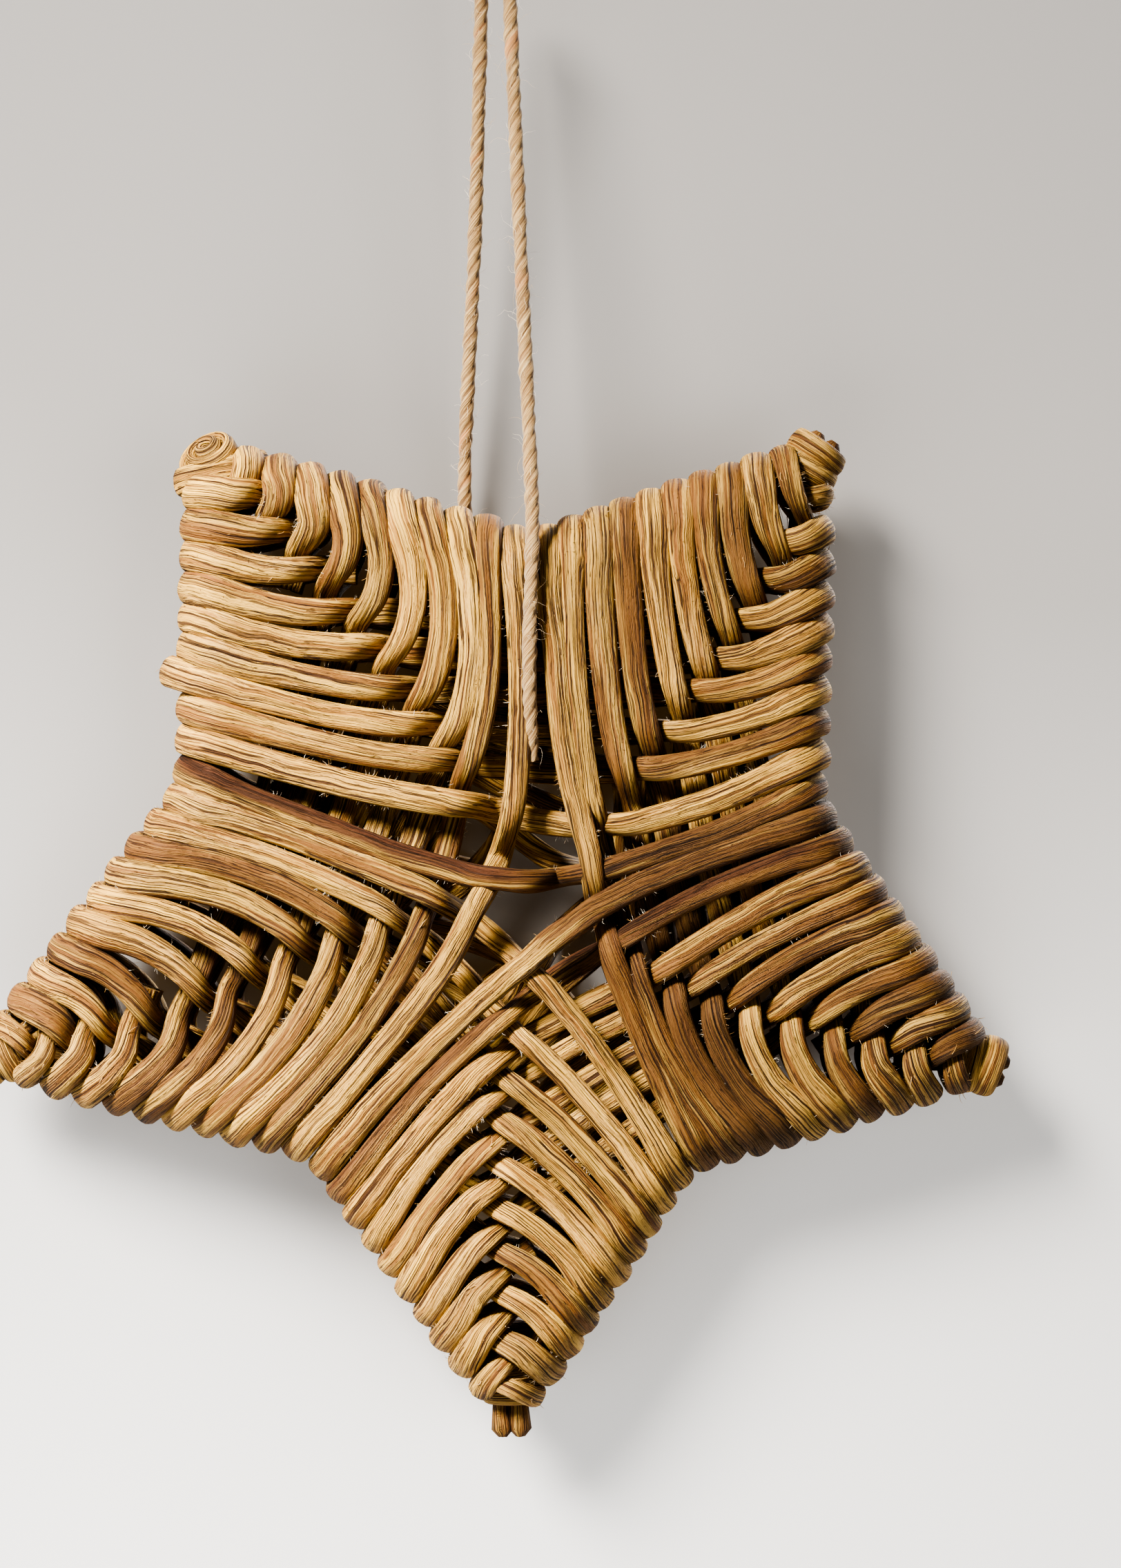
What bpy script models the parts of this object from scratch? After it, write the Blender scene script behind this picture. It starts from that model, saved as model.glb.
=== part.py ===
"""Rattan star ornament: a five-pointed star wound from cane, hung on a loop of jute twine.

The star stands in the XZ plane and faces -Y. The origin is the point that the twine hangs from.
Sizes are in millimetres and become metres when a mesh is written.
"""

import math

import bmesh
import bpy
import numpy as np

# ---------------------------------------------------------------- driving dimensions
MM = 0.001

# The star's outline: polar radius and angle of every corner about the star's centre.
# The star is hand made, so no two arms are quite alike.
ARM_TIPS = {
    "upper_left": (108.0, 125.7),
    "upper_right": (109.5, 54.0),
    "lower_right": (104.5, -17.9),
    "bottom": (106.5, -89.6),
    "lower_left": (111.0, 197.7),
}
NOTCHES = {
    "top": (69.8, 86.3),
    "left": (67.5, 162.0),
    "bottom_left": (65.3, 233.2),
    "bottom_right": (65.5, 303.4),
    "right": (64.0, 16.0),
}
APEX_PAST_TIP = 2.0  # the edges aim at a point this far past each blunt tip
WEAVE_CENTRE = (3.5, -2.5)  # the open middle of the weave sits a little off centre
ARM_LENGTH = 107.0  # of a regular star, for sharing out the rounds along an arm
EDGE_LENGTH = 67.6  # the same, from notch to apex

# The cane that is wound over the frame.
CANE_WIDTH = 4.5
CANE_THICKNESS = 2.7
ROUNDS = 11  # counted from the tip inward; round 0 is the binding on the tip
FIRST_FULL_ROUND = 4  # earlier rounds would miss the notch, so they stay on their arm
FIRST_ROUND_SLIM = 0.78  # the cane tapers where it starts at the tips
EDGE_START = 3.3  # from a notch to the middle of the last round, along the edge
EDGE_PITCH = 5.75
AXIS_START = 103.4  # where round 0 crosses its arm's middle line
AXIS_PITCH = 8.8
BOW = 1.0  # strands sag toward the middle of the star between edge and middle line
MID_SAG = 0.02  # the same for the stretch between two middle lines, as a share of its length
TUCK = 8.0  # a cut end lies this far past the middle line

# How the two crossing families share a face.
FACE_AT_TIP = 10.2  # height of the outer layer over the middle plane
FACE_AT_CENTRE = 14.0
FACE_FALLOFF = 45.0
EDGE_ROUND = 7.0  # the outer layer bends over the edge within this distance
LAYER_DROP = 7.6  # from the outer layer down to the inner one
CLOSING_DEEPER = 1.6  # the last pass at the back crosses the middle lower than the rest
DIVE_LENGTH = 3.3  # half the length over which a strand changes layer
SHINGLE_TILT = math.radians(44)
SHINGLE_REACH = 6.5
LAST_TILT = 0.5  # a strand of the last round that nothing covers tilts less,
LAST_RISE = 1.0  # and rides up over the one below
BEND_REACH = 4.0  # half the length over which a strand turns at an arm's middle line

# The frame inside, the bindings on the tips and the twine.
FRAME_RADIUS = 1.5
FRAME_INSET = 6.4
FRAME_SPACING = 3.4  # between the two frame canes that lie side by side in a tip
TIP_STRAIGHT = 15.0
BINDING_WIDTH = 4.6
BINDING_THICKNESS = 2.0
BINDING_FROM_TIP = 4.7
CLEARANCE = 0.3
TWINE_DIAMETER = 2.7
HANG_DROP = 177.4  # from the hanging point down to the star's centre
HANG_SHIFT = 2.4  # the star's centre is this far right of the hanging point

# Each family of strands runs between the edges of two arms, parallel to one diagonal.
# An end is its arm, the notch where its edge starts, and where it lies between the
# strands of that arm's other family: 0 before its partner, 0.5 after it.
FAMILIES = {
    "across_top": (("upper_right", "right", 0.0), ("upper_left", "left", 0.5)),
    "down_left": (("upper_left", "top", 0.0), ("lower_left", "bottom_left", 0.5)),
    "down_right": (("lower_right", "bottom_right", 0.0), ("upper_right", "top", 0.5)),
    "rising_left": (("bottom", "bottom_right", 0.0), ("lower_left", "left", 0.0)),
    "rising_right": (("lower_right", "right", 0.5), ("bottom", "bottom_left", 0.5)),
}
STRAY_LOOP = ("across_top", 7, 3.2)  # this round stands proud of its left edge

# The twine's route from the hollow of the star, over the hanging point and back in behind.
TWINE_ROUTE = [
    (4.6, -11.6, 25.0),
    (4.4, -12.9, 32.0),
    (4.2, -14.4, 41.0),
    (4.3, -15.0, 52.0),
    (4.6, -14.8, 62.0),
    (4.6, -12.4, 76.0),
    (2.6, -6.6, 120.0),
    (0.5, -1.2, 168.0),
    (0.3, -0.2, 175.6),
    (-2.4, 0.0, 178.75),
    (-5.1, 0.2, 175.6),
    (-5.3, 1.2, 168.0),
    (-6.6, 6.6, 126.0),
    (-8.6, 11.6, 84.0),
    (-8.0, 14.6, 68.0),
    (-4.8, 15.2, 56.0),
    (0.0, 16.6, 45.0),
    (3.4, 15.4, 33.0),
    (4.2, 13.4, 25.0),
]


# ---------------------------------------------------------------- the star's plane
def polar(radius, degrees):
    """A point in the star's plane: x, and height over the star's centre."""
    a = math.radians(degrees)
    return np.array([radius * math.cos(a), radius * math.sin(a)])


def unit(v):
    return v / np.linalg.norm(v)


CENTRE = np.array(WEAVE_CENTRE)
TIP = {name: polar(*place) for name, place in ARM_TIPS.items()}
NOTCH = {name: polar(*place) for name, place in NOTCHES.items()}
APEX = {name: tip + APEX_PAST_TIP * unit(tip) for name, tip in TIP.items()}


def edge_point(arm, notch, round_number):
    """Where a round wraps over the edge between a notch and an arm's apex."""
    share = (EDGE_START + EDGE_PITCH * (ROUNDS - 1 - round_number)) / EDGE_LENGTH
    return NOTCH[notch] + (APEX[arm] - NOTCH[notch]) * share


def axis_point(arm, phase, round_number):
    """Where a round crosses the middle line of an arm."""
    along = AXIS_START - AXIS_PITCH * (round_number + phase)
    return CENTRE + (TIP[arm] - CENTRE) * along / ARM_LENGTH


def face_height(p):
    """Height of the outer layer over the middle plane at a point of the star."""
    near = math.exp(-((np.linalg.norm(p) / FACE_FALLOFF) ** 2))
    return FACE_AT_TIP + (FACE_AT_CENTRE - FACE_AT_TIP) * near


def step(x):
    """A smooth step from 0 to 1 while x runs from -1 to 1."""
    return 0.5 + 0.5 * math.sin(0.5 * math.pi * max(-1.0, min(1.0, x)))


def along_line(corners, s):
    """The point at distance s along a bent line, carried straight on past its ends."""
    for i, (a, b) in enumerate(zip(corners, corners[1:])):
        length = np.linalg.norm(b - a)
        if s <= length or i == len(corners) - 2:
            return a + (b - a) * s / length
        s -= length


def along_curve(corners, s):
    """The same with its corners rounded, as the mean over a short stretch."""
    return sum(along_line(corners, s + BEND_REACH * t) for t in (-1, -0.5, 0, 0.5, 1)) / 5


# ---------------------------------------------------------------- one pass over a face
def bow_at(route, s):
    """How far a strand sags toward the star's middle at distance s."""
    sag = 0.0
    for (edge, sign), _, _ in route["proud"]:
        crossing = min((c for c, _, _ in route["crossings"]), key=lambda c: abs(c - edge))
        x = (s - edge) * sign / abs(crossing - edge)
        if 0 < x < 1:
            sag += BOW * 4 * x * (1 - x) * (1 - 0.5 * x)
    if len(route["crossings"]) == 2:
        (first, _, _), (last, _, _) = route["crossings"]
        x = (s - first) / (last - first)
        if 0 < x < 1:
            sag += MID_SAG * (last - first) * math.sin(math.pi * x) ** 2
    return route["outside"] * sag


def pass_point(route, s):
    """Plane point, height over the middle plane and tilt of a pass at distance s."""
    corners, crossings, proud = route["corners"], route["crossings"], route["proud"]
    p = along_curve(corners, s) - bow_at(route, s)
    low, tilt, rise = 1.0, 0.0, 0.0
    for crossing, inward, dives in crossings:
        past = (s - crossing) * inward
        low *= step((past - (0.0 if dives else 9.0)) / DIVE_LENGTH)
        near = math.exp(-((past / SHINGLE_REACH) ** 2))
        tilt = max(tilt, near * SHINGLE_TILT * (1.0 if dives else LAST_TILT))
        rise += 0.0 if dives else near * LAST_RISE
    height = face_height(p) + rise - (LAYER_DROP + route["deeper"]) * low
    for from_edge, outward, extra in proud:
        here = max(0.0, (s - from_edge[0]) * from_edge[1])
        if here < EDGE_ROUND:
            across = 1 - here / EDGE_ROUND
            height *= math.sqrt(max(0.0, 1 - across * across))
            p = p + outward * (extra * across**2 - 0.5 * CANE_THICKNESS)
        else:
            fade = max(0.0, 1 - (here - EDGE_ROUND) / EDGE_ROUND)
            p = p - outward * 0.5 * CANE_THICKNESS * fade
    return p, height, tilt


def full_route(family, first_round, last_round):
    """A pass from edge to edge; the two ends may belong to different rounds."""
    (arm_a, notch_a, phase_a), (arm_b, notch_b, phase_b) = FAMILIES[family]
    corners = [
        edge_point(arm_a, notch_a, first_round),
        axis_point(arm_a, phase_a, first_round),
        axis_point(arm_b, phase_b, last_round),
        edge_point(arm_b, notch_b, last_round),
    ]
    lengths = [np.linalg.norm(b - a) for a, b in zip(corners, corners[1:])]
    total = sum(lengths)
    crossings = [
        (lengths[0], 1, phase_a < 0.25 or first_round < ROUNDS - 1),
        (total - lengths[2], -1, phase_b < 0.25 or last_round < ROUNDS - 1),
    ]
    stray = STRAY_LOOP[2] if (family, last_round) == STRAY_LOOP[:2] else 0.0
    proud = [
        ((0.0, 1), unit(corners[0] - corners[1]), 0.0),
        ((total, -1), unit(corners[3] - corners[2]), stray),
    ]
    wrap = [EDGE_ROUND * (1 - math.cos(math.radians(a))) for a in (20, 62)]
    dives = [s + DIVE_LENGTH * k for s, _, _ in crossings for k in (-1.05, 0, 1.05)]
    stations = wrap + dives + [total - w for w in reversed(wrap)]
    return dict(
        corners=corners,
        crossings=crossings,
        proud=proud,
        stations=stations,
        outside=unit(TIP[arm_a] + TIP[arm_b] - 2 * CENTRE),
        deeper=CLOSING_DEEPER if first_round != last_round == ROUNDS - 2 else 0.0,
    )


def half_route(family, end, round_number):
    """A pass from one edge that ends tucked under the other family of its arm."""
    arm, notch, phase = FAMILIES[family][end]
    other_arm, _, other_phase = FAMILIES[family][1 - end]
    edge = edge_point(arm, notch, round_number)
    cross = axis_point(arm, phase, round_number)
    onward = unit(axis_point(other_arm, other_phase, round_number) - cross)
    length = np.linalg.norm(cross - edge)
    tuck = {1: 3.0, 2: 3.2, ROUNDS - 1: -1.5}.get(round_number, TUCK)
    corners = [edge, cross, cross + onward * tuck]
    wrap = [EDGE_ROUND * (1 - math.cos(math.radians(a))) for a in (20, 62)]
    dive = [length + DIVE_LENGTH * k for k in (-1.05, 0, 1.05)]
    return dict(
        corners=corners,
        crossings=[(length, 1, phase < 0.25 or round_number < ROUNDS - 1)],
        proud=[((0.0, 1), unit(edge - cross), 0.0)],
        stations=wrap + [s for s in dive if s < length + tuck - 1] + [length + tuck],
        outside=unit(axis_point(arm, 0, 1) + axis_point(other_arm, 0, 1) - 2 * CENTRE),
        deeper=0.0,
    )


def rings_of(route, face):
    """Ring places of a pass: centre, direction to the star's outside, and tilt."""
    rings = []
    stations = sorted(route["stations"])
    stations = [s for i, s in enumerate(stations) if i == 0 or s - stations[i - 1] > 1.5]
    for s in stations:
        p, height, tilt = pass_point(route, s)
        ahead, behind = (
            along_curve(route["corners"], s + d) - bow_at(route, s + d) for d in (0.5, -0.5)
        )
        along = unit(ahead - behind)
        side = np.array([-along[1], along[0]])
        side = side if side @ route["outside"] > 0 else -side
        rings.append((np.array([p[0], -face * height, p[1]]), np.array([side[0], 0, side[1]]), tilt))
    return rings


FRONT, BACK = 1, -1


def coil_rings(family):
    """One length of cane wound over two arms: front and back passes in turn."""
    last = ROUNDS - 1
    rings = rings_of(half_route(family, 0, FIRST_FULL_ROUND), BACK)[::-1]
    for n in range(FIRST_FULL_ROUND, ROUNDS):
        rings += rings_of(full_route(family, n, n), FRONT)
        if n < last:
            rings += rings_of(full_route(family, n + 1, n), BACK)[::-1]
    return rings + rings_of(half_route(family, 1, last), BACK)


def staple_rings(family, end, round_number):
    """A short turn over one edge of an arm, both of its ends tucked in."""
    route = half_route(family, end, round_number)
    return rings_of(route, BACK)[::-1] + rings_of(route, FRONT)


# ---------------------------------------------------------------- solids
def to_world(point):
    """From millimetres about the star's centre to metres about the hanging point."""
    return (np.asarray(point) + [HANG_SHIFT, 0, -HANG_DROP]) * MM


def add_solid(name, vertices, faces, material):
    mesh = bpy.data.meshes.new(name)
    mesh.from_pydata([tuple(v) for v in vertices], [], faces)
    bm = bmesh.new()
    bm.from_mesh(mesh)
    bmesh.ops.recalc_face_normals(bm, faces=bm.faces)
    bm.to_mesh(mesh)
    bm.free()
    mesh.materials.append(material)
    piece = bpy.data.objects.new(name, mesh)
    STAR.objects.link(piece)
    return piece


def strip(name, rings, width, thickness, material):
    """A cane of rectangular section through the rings."""
    centres = np.array([r[0] for r in rings])
    n = len(centres)
    before = np.roll(centres, 1, axis=0)
    after = np.roll(centres, -1, axis=0)
    tangents = []
    for i in range(n):
        into = unit(centres[i] - before[i])
        out = unit(after[i] - centres[i])
        if i == 0:
            into = out
        if i == n - 1:
            out = into
        tangents.append(unit(into + out))
    sides, normals = [], []
    for (_, side, _), t in zip(rings, tangents):
        side = unit(side - t * (side @ t))
        sides.append(side)
        normals.append(np.cross(side, t))
    outwards = sum(m[1] * c[1] for m, c in zip(normals, centres))
    turn = 1 if outwards > 0 else -1
    vertices = []
    for c, side, normal, (_, _, tilt) in zip(centres, sides, normals, rings):
        normal = normal * turn
        s = math.cos(tilt) * side + math.sin(tilt) * normal
        m = math.cos(tilt) * normal - math.sin(tilt) * side
        for a, b in ((1, 1), (-1, 1), (-1, -1), (1, -1)):
            vertices.append(to_world(c + 0.5 * (a * width * s + b * thickness * m)))
    faces = []
    for i in range(n - 1):
        j = i + 1
        faces += [(4 * i + k, 4 * i + (k + 1) % 4, 4 * j + (k + 1) % 4, 4 * j + k) for k in range(4)]
    faces += [(0, 1, 2, 3), tuple(4 * (n - 1) + k for k in range(4))]
    return add_solid(name, vertices, faces, material)


def rod(name, centres, radius, sides, material):
    """A round cane through points of the middle plane."""
    vertices, faces = [], []
    n = len(centres)
    for i, c in enumerate(centres):
        into = unit(c - centres[i - 1]) if i else unit(centres[1] - c)
        out = unit(centres[i + 1] - c) if i < n - 1 else into
        t = unit(into + out)
        side = np.array([-t[1], t[0]]) / max(0.5, into @ t)
        for k in range(sides):
            a = 2 * math.pi * (k + 0.5) / sides
            p = c + side * radius * math.cos(a)
            vertices.append(to_world([p[0], radius * math.sin(a), p[1]]))
    for i in range(n - 1):
        for k in range(sides):
            j = (k + 1) % sides
            faces.append((sides * i + k, sides * i + j, sides * (i + 1) + j, sides * (i + 1) + k))
    faces += [tuple(range(sides)), tuple(sides * (n - 1) + k for k in range(sides))]
    return add_solid(name, vertices, faces, material)


def principled(name, colour, roughness):
    material = bpy.data.materials.new(name)
    material.use_nodes = True
    shader = material.node_tree.nodes["Principled BSDF"]
    shader.inputs["Base Color"].default_value = (*colour, 1)
    shader.inputs["Roughness"].default_value = roughness
    shader.inputs["Metallic"].default_value = 0.0
    return material


def frame_route(notch, arm_a, arm_b):
    """A frame cane: out of one tip, along its edge, round the notch and out at the next tip."""
    points = []
    for arm in (arm_a, arm_b):
        ends = [NOTCH[e[1]] for f in FAMILIES.values() for e in f if e[0] == arm]
        axis = unit(TIP[arm] - (ends[0] + ends[1]) / 2)
        across = np.array([-axis[1], axis[0]])
        across = across if across @ (NOTCH[notch] - TIP[arm]) > 0 else -across
        tip = TIP[arm] + across * FRAME_SPACING / 2
        points.append([tip, tip - axis * TIP_STRAIGHT])
    inner = NOTCH[notch] - unit(NOTCH[notch]) * FRAME_INSET * 1.05
    corners = points[0] + [inner] + points[1][::-1]
    total = sum(np.linalg.norm(b - a) for a, b in zip(corners, corners[1:]))
    bend = np.linalg.norm(corners[1] - corners[0])
    middle = bend + np.linalg.norm(corners[2] - corners[1])
    last = total - np.linalg.norm(corners[4] - corners[3])
    stations = [0.0]
    for s in (bend, middle, last):
        stations += [s - 4.0, s, s + 4.0]
    return [along_curve(corners, s) for s in stations + [total]]


def binding_rings(arm):
    """A cane wound once round the two frame canes, just below the end of a tip."""
    axis = unit(TIP[arm])
    across = np.array([-axis[1], axis[0]])
    room = CLEARANCE + BINDING_THICKNESS / 2
    wide = FRAME_SPACING / 2 + FRAME_RADIUS + room + 0.2
    deep = FRAME_RADIUS + room + 1.6
    side = np.array([axis[0], 0, axis[1]])
    rings = []
    for degrees in range(60, 361, 30):
        a = math.radians(degrees)
        p = TIP[arm] - axis * BINDING_FROM_TIP + across * wide * math.cos(a)
        rings.append((np.array([p[0], deep * math.sin(a), p[1]]), side, 0.0))
    return rings


def smooth_route(points, spacing):
    """Points at even spacing on a smooth curve through a list of points."""
    pts = [np.array(p, float) for p in points]
    pts = [2 * pts[0] - pts[1]] + pts + [2 * pts[-1] - pts[-2]]
    dense = []
    for a, b, c, d in zip(pts, pts[1:], pts[2:], pts[3:]):
        for k in range(20):
            t = k / 20
            dense.append(
                b + 0.5 * t * (c - a)
                + t * t * (a - 2.5 * b + 2 * c - 0.5 * d)
                + t * t * t * (1.5 * (b - c) + 0.5 * (d - a))
            )
    dense.append(pts[-2])
    dense = np.array(dense)
    at = np.concatenate([[0], np.cumsum(np.linalg.norm(np.diff(dense, axis=0), axis=1))])
    steps = np.linspace(0, at[-1], round(at[-1] / spacing) + 1)
    return np.stack([np.interp(steps, at, dense[:, k]) for k in range(3)], axis=1)


def twine(material):
    curve = bpy.data.curves.new("twine_loop", "CURVE")
    curve.dimensions = "3D"
    curve.bevel_depth = 0.5 * TWINE_DIAMETER * MM
    curve.bevel_resolution = 2
    curve.use_fill_caps = True
    points = smooth_route(TWINE_ROUTE, 3.0 * TWINE_DIAMETER)
    spline = curve.splines.new("POLY")
    spline.points.add(len(points) - 1)
    for place, p in zip(spline.points, points):
        place.co = (*to_world(p), 1)
    curve.materials.append(material)
    STAR.objects.link(bpy.data.objects.new("twine_loop", curve))


# ---------------------------------------------------------------- build
for old in list(bpy.data.objects):
    bpy.data.objects.remove(old)

STAR = bpy.data.collections.new("rattan_star_ornament")
bpy.context.scene.collection.children.link(STAR)

for family, (end_a, end_b) in FAMILIES.items():
    cane = principled(f"cane_{family}", (0.50, 0.33, 0.19), 0.55)
    strip(f"coil_{family}", coil_rings(family), CANE_WIDTH, CANE_THICKNESS, cane)
    for end, (arm, notch, _) in enumerate((end_a, end_b)):
        for n in range(1, FIRST_FULL_ROUND):
            rings = staple_rings(family, end, n)
            cane = principled(f"cane_{arm}_{notch}_{n}", (0.52, 0.35, 0.20), 0.55)
            slim = FIRST_ROUND_SLIM if n == 1 else 1.0
            name = f"turn_{arm}_by_{notch}_{n}"
            strip(name, rings, CANE_WIDTH * slim, CANE_THICKNESS * slim, cane)

ARMS_AT_NOTCH = {
    "top": ("upper_left", "upper_right"),
    "left": ("upper_left", "lower_left"),
    "bottom_left": ("lower_left", "bottom"),
    "bottom_right": ("bottom", "lower_right"),
    "right": ("lower_right", "upper_right"),
}
for notch, (arm_a, arm_b) in ARMS_AT_NOTCH.items():
    frame = principled(f"frame_cane_{notch}", (0.42, 0.27, 0.15), 0.6)
    rod(f"frame_{notch}", frame_route(notch, arm_a, arm_b), FRAME_RADIUS, 6, frame)

for arm in ARM_TIPS:
    cane = principled(f"binding_cane_{arm}", (0.45, 0.29, 0.16), 0.55)
    strip(f"binding_{arm}", binding_rings(arm), BINDING_WIDTH, BINDING_THICKNESS, cane)

twine(principled("jute", (0.62, 0.50, 0.38), 0.9))
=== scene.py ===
# %% [markdown]
# # A rattan star, wound from cane and hung on jute twine
#
# This lesson dresses a star ornament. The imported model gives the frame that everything
# has to agree with: how large the star is, where it hangs from, and which solids the
# finished pieces stand for. The star stands in the XZ plane and faces -Y, and the origin
# is the point that the twine hangs from.

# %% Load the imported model
import math

import bpy
import numpy as np
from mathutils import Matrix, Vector


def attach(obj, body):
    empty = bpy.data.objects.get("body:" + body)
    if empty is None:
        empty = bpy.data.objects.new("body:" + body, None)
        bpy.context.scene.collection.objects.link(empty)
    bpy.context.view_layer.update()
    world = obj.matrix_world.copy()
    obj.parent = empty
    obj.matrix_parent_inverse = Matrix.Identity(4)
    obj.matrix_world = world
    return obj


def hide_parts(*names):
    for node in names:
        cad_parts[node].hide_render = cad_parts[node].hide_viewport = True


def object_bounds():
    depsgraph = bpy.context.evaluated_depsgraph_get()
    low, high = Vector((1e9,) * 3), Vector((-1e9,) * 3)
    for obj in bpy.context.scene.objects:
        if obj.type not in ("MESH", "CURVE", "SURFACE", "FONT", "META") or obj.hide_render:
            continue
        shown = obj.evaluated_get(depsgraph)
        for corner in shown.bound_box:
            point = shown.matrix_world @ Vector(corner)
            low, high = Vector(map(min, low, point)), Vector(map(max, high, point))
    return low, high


MM = 0.001
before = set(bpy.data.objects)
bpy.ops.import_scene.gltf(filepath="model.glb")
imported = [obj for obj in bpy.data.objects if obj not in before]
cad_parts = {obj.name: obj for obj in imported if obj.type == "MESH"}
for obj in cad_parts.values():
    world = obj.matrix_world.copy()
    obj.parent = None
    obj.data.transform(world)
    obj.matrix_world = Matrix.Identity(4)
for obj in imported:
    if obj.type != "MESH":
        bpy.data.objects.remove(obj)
cad_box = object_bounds()
spans = [round((b - a) / MM, 1) for a, b in zip(*cad_box)]
print("the packed model has", len(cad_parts), "solids and spans", spans, "mm")

# %% [markdown]
# ## Camera
#
# The camera looks straight at the star, a little above and to the right of its middle.
# A long lens keeps the arms from spreading toward the edges of the view.

# %% Camera
VIEW_MIDDLE = (12.5, -156.9)  # x and z that the camera looks at
VIEW_HEIGHT = 302.9
CAMERA_DISTANCE = 850.0
SENSOR = 36.0

lens = bpy.data.cameras.new("camera")
lens.sensor_width = SENSOR
lens.lens = SENSOR * CAMERA_DISTANCE / VIEW_HEIGHT
camera = bpy.data.objects.new("camera", lens)
camera.location = (VIEW_MIDDLE[0] * MM, -CAMERA_DISTANCE * MM, VIEW_MIDDLE[1] * MM)
camera.rotation_euler = (math.pi / 2, 0, 0)
bpy.context.scene.collection.objects.link(camera)
bpy.context.scene.camera = camera
print("lens", round(lens.lens, 1), "mm")

# %% [markdown]
# ## Expressions that write nodes
#
# Shaders and Geometry Nodes are both graphs. Writing every node by hand hides the idea
# behind a material, so a small class wraps a socket and turns Python arithmetic into
# Math nodes. One method adds any other node.

# %% Expressions and nodes


class Value:
    """A socket that can be used in an expression."""

    def __init__(self, graph, socket):
        self.graph, self.socket = graph, socket

    def math(self, operation, *others):
        node = self.graph.add("ShaderNodeMath", {"operation": operation}, {0: self})
        for i, other in enumerate(others, 1):
            self.graph.fill(node.inputs[i], other)
        return Value(self.graph, node.outputs[0])

    def __add__(self, other):
        return self.math("ADD", other)

    def __sub__(self, other):
        return self.math("SUBTRACT", other)

    def __mul__(self, other):
        return self.math("MULTIPLY", other)

    def __truediv__(self, other):
        return self.math("DIVIDE", other)

    def __pow__(self, other):
        return self.math("POWER", other)

    def __rsub__(self, other):
        return (self * -1.0) + other

    __radd__, __rmul__ = __add__, __mul__

    def fade(self, low, high):
        """0 below low, 1 above high and smooth between them; low may be the larger."""
        kind, settings = "ShaderNodeMapRange", {"interpolation_type": "SMOOTHSTEP"}
        node = self.graph.add(kind, settings, {0: self, 1: low, 2: high, 3: 0.0, 4: 1.0})
        return Value(self.graph, node.outputs[0])


class Graph:
    """A node tree with one way to add a node."""

    def __init__(self, tree):
        self.tree = tree

    def fill(self, socket, value):
        if isinstance(value, Value):
            self.tree.links.new(value.socket, socket)
        else:
            socket.default_value = value

    def add(self, kind, settings=None, inputs=None):
        node = self.tree.nodes.new(kind)
        for name, setting in (settings or {}).items():
            setattr(node, name, setting)
        for name, value in (inputs or {}).items():
            self.fill(node.inputs[name], value)
        return node

    def get(self, kind, settings=None, inputs=None, output=0):
        return Value(self, self.add(kind, settings, inputs).outputs[output])

    def xyz(self, x, y, z):
        return self.get("ShaderNodeCombineXYZ", inputs={0: x, 1: y, 2: z})

    def parts(self, vector):
        """The x, y and z of a vector."""
        node = self.add("ShaderNodeSeparateXYZ", inputs={0: vector})
        return [Value(self, part) for part in node.outputs]

    def noise(self, vector, scale, detail=2.0, rough=0.5):
        sizes = {"Vector": vector, "Scale": scale, "Detail": detail, "Roughness": rough}
        return self.get("ShaderNodeTexNoise", inputs=sizes)

    def fibres(self, place, spacing, reach, detail=2.0, rough=0.55):
        """Noise with fibres this far apart and this long, at a place in the grain."""
        up, across, along = place
        stretched = self.xyz(up / spacing, across / spacing, along / reach)
        return self.noise(stretched, 1.0, detail, rough)

    def mix(self, factor, a, b, blend="MIX"):
        """Colour a where factor is 0 and colour b where it is 1."""
        settings = {"data_type": "RGBA", "blend_type": blend}
        return self.get("ShaderNodeMix", settings, {0: factor, 6: a, 7: b}, output=2)

    def painted(self, colour, *layers):
        """A colour with others laid over it in turn, each with how much of it covers."""
        for cover, paint in layers:
            colour = self.mix(cover, colour, paint)
        return colour


print("expressions can write math, noise and colour nodes")

# %% [markdown]
# ## The star's plane
#
# Every length of cane on the star follows the same rule. It wraps over one edge of an
# arm, crosses the arm's middle line, dives under the canes of the other direction, and
# runs on to the edge of another arm. Ten rounds sit side by side on each arm, numbered
# from 1 near the tip. The layout is that of the solids. On top of it comes what is uneven
# in a star wound by hand: the bows, and the crossings that lie off the middle line.

# %% Sizes of the star
ARM_TIPS = {  # distance from the star's centre, and angle in degrees
    "upper_left": (107.0, 124.9),
    "upper_right": (108.0, 54.8),
    "lower_right": (103.4, -20.1),
    "bottom": (106.5, -89.6),
    "lower_left": (111.0, 197.7),
}
NOTCHES = {
    "top": (69.8, 86.3),
    "left": (67.5, 162.0),
    "bottom_left": (65.3, 233.2),
    "bottom_right": (65.5, 303.4),
    "right": (64.0, 16.0),
}
FAMILIES = {  # the arm and notch at each end, and where its rounds lie in the weave
    "across_top": (("upper_right", "right", 0.0), ("upper_left", "left", 0.5)),
    "down_left": (("upper_left", "top", 0.0), ("lower_left", "bottom_left", 0.5)),
    "down_right": (("lower_right", "bottom_right", 0.0), ("upper_right", "top", 0.5)),
    "rising_left": (("bottom", "bottom_right", 0.0), ("lower_left", "left", 0.0)),
    "rising_right": (("lower_right", "right", 0.5), ("bottom", "bottom_left", 0.5)),
}
APEX_PAST_TIP, WEAVE_CENTRE = 2.0, (3.5, -2.5)
ARM_LENGTH, EDGE_LENGTH = 107.0, 67.6
ROUNDS, FIRST_FULL_ROUND = 11, 4
EDGE_START, EDGE_PITCH = 3.3, 5.75
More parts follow.
